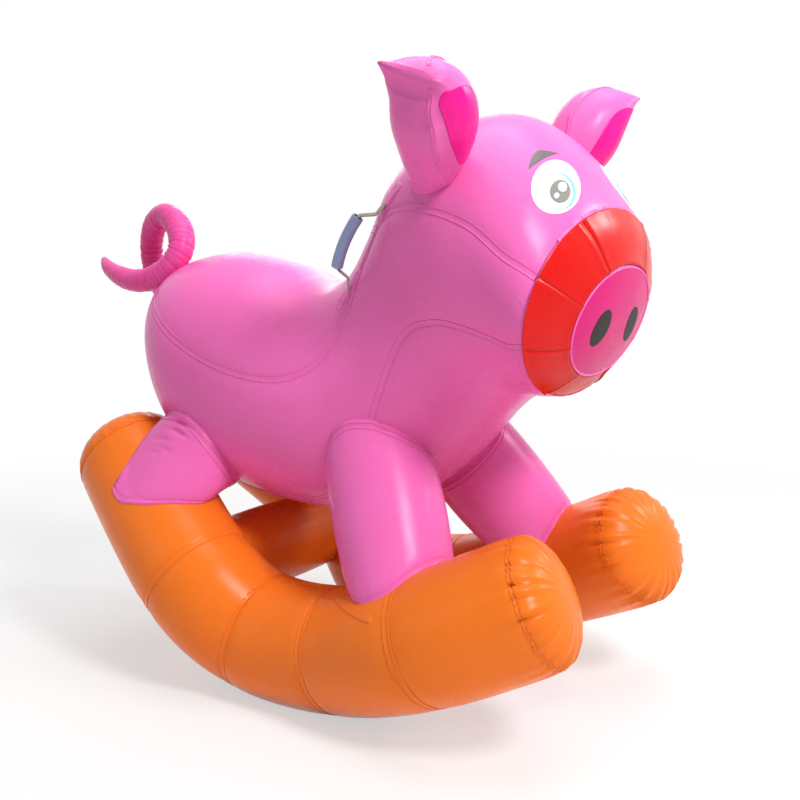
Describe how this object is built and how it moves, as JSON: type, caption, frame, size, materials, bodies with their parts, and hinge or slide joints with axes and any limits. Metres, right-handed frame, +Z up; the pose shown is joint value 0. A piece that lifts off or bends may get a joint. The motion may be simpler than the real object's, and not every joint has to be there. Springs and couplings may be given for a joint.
{
  "type": "inflatable rocking animal",
  "caption": "Inflatable pig ride-on: an air-filled animal on legs over two bowed rocker tubes, with neck handles, a curled tail and inflation valves.",
  "frame": {"origin": "on the floor, under the middle of the whole object's box", "axes": "+X forward, towards the snout; +Y the animal's left; +Z up"},
  "size_m": [1.5398, 0.8786, 1.3401],
  "materials": {
    "pink_skin": "glossy coated fabric",
    "orange_skin": "glossy coated fabric",
    "red_skin": "glossy coated fabric",
    "magenta_skin": "glossy coated fabric",
    "webbing": "woven, matte",
    "grip_hose": "satin",
    "valve_plastic": "satin",
    "spring_steel": "bright wire"
  },
  "bodies": {
    "inflated_animal_and_base": {"right_rocker_sleeve_1": "orange_skin", "right_rocker_sleeve_2": "orange_skin", "right_rocker_sleeve_3": "orange_skin", "right_rocker_sleeve_4": "orange_skin", "right_rocker_sleeve_5": "orange_skin", "right_rocker_rear_cap": "orange_skin", "right_rocker_front_cap": "orange_skin", "right_front_leg": "pink_skin", "right_rear_leg": "pink_skin", "right_ear": "pink_skin", "right_ear_inner_patch": "magenta_skin", "right_handle_lower_pad": "pink_skin", "right_handle_lower_tab": "webbing", "right_handle_upper_pad": "pink_skin", "right_handle_upper_tab": "webbing", "left_rocker_sleeve_1": "orange_skin", "left_rocker_sleeve_2": "orange_skin", "left_rocker_sleeve_3": "orange_skin", "left_rocker_sleeve_4": "orange_skin", "left_rocker_sleeve_5": "orange_skin", "left_rocker_rear_cap": "orange_skin", "left_rocker_front_cap": "orange_skin", "left_front_leg": "pink_skin", "left_rear_leg": "pink_skin", "left_ear": "pink_skin", "left_ear_inner_patch": "magenta_skin", "left_handle_lower_pad": "pink_skin", "left_handle_lower_tab": "webbing", "left_handle_upper_pad": "pink_skin", "left_handle_upper_tab": "webbing", "cross_tube": "orange_skin", "back_panel": "pink_skin", "right_flank_panel": "pink_skin", "belly_panel": "pink_skin", "left_flank_panel": "pink_skin", "muzzle_gore_1": "red_skin", "muzzle_gore_2": "red_skin", "muzzle_gore_3": "red_skin", "muzzle_gore_4": "red_skin", "muzzle_gore_5": "red_skin", "muzzle_gore_6": "red_skin", "muzzle_gore_7": "red_skin", "muzzle_gore_8": "red_skin", "snout_disc": "magenta_skin", "tail": "pink_skin", "body_valve_base": "valve_plastic", "base_valve_base": "valve_plastic"},
    "right_handle": {"right_handle_strap": "webbing", "right_handle_grip": "grip_hose"},
    "left_handle": {"left_handle_strap": "webbing", "left_handle_grip": "grip_hose"},
    "body_valve_plunger": {"body_valve_plunger": "valve_plastic", "body_valve_spring": "spring_steel"},
    "body_valve_lid": {"body_valve_lid": "valve_plastic"},
    "base_valve_plunger": {"base_valve_plunger": "valve_plastic", "base_valve_spring": "spring_steel"},
    "base_valve_lid": {"base_valve_lid": "valve_plastic"}
  },
  "joints": [
    {"name": "right_handle_swing", "type": "hinge", "parent": "inflated_animal_and_base", "child": "right_handle", "pos_m": [0.20069, -0.20307, 0.92428], "axis": [0.525, -0.085, 0.8468], "range_deg": [-80, 80]},
    {"name": "left_handle_swing", "type": "hinge", "parent": "inflated_animal_and_base", "child": "left_handle", "pos_m": [0.20069, 0.20307, 0.92428], "axis": [0.525, 0.085, 0.8468], "range_deg": [-80, 80]},
    {"name": "body_valve_lid_hinge", "type": "hinge", "parent": "inflated_animal_and_base", "child": "body_valve_lid", "pos_m": [0.0094, 0, 0.37335], "axis": [0, -1, 0], "range_deg": [0, 150]},
    {"name": "body_valve_plunger_slide", "type": "slide", "parent": "inflated_animal_and_base", "child": "body_valve_plunger", "axis": [0, 0, 1], "range_m": [0, 0.005], "stiffness_N_per_m": 400, "springref_m": -0.002, "deforming": ["body_valve_spring"]},
    {"name": "base_valve_lid_hinge", "type": "hinge", "parent": "inflated_animal_and_base", "child": "base_valve_lid", "pos_m": [-0.1706, 0.06, 0.15134], "axis": [0, -1, 0], "range_deg": [0, 150]},
    {"name": "base_valve_plunger_slide", "type": "slide", "parent": "inflated_animal_and_base", "child": "base_valve_plunger", "axis": [0, 0, 1], "range_m": [0, 0.005], "stiffness_N_per_m": 400, "springref_m": -0.002, "deforming": ["base_valve_spring"]}
  ]
}
